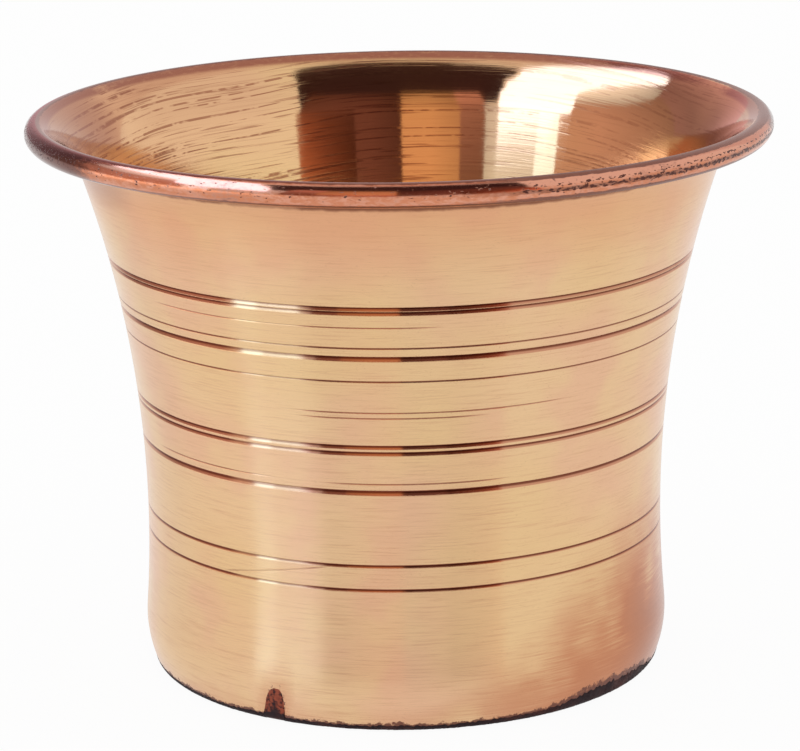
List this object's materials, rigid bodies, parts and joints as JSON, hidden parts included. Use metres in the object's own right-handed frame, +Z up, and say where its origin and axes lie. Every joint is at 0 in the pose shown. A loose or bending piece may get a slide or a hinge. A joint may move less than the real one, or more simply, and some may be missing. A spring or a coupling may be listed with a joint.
{
  "type": "panchpatra",
  "caption": "Small flared copper water cup for rituals, with a waisted wall, turned lines round it, a wired rim rolled outward and a flat brazed base.",
  "frame": {"origin": "middle of the foot ring, on the plane that the cup stands on", "axes": "+Z up the cup's axis, out of its mouth; the cup is round, so +X and +Y are any two directions square to it, and the picture looks along +Y"},
  "size_m": [0.076, 0.076, 0.0574],
  "materials": {
    "buffed_copper": "bare copper sheet, brushed on the lathe and buffed, with dark residue in the turned lines",
    "wire_copper": "bare drawn copper wire, dull",
    "base_copper": "bare copper sheet, satin, a little tarnished",
    "braze_filler": "copper-phosphorus filler, grey-brown and not buffed"
  },
  "bodies": {
    "root": {"wall": "buffed_copper", "rim_wire": "wire_copper", "base_disc": "base_copper", "base_braze": "braze_filler"}
  },
  "joints": []
}
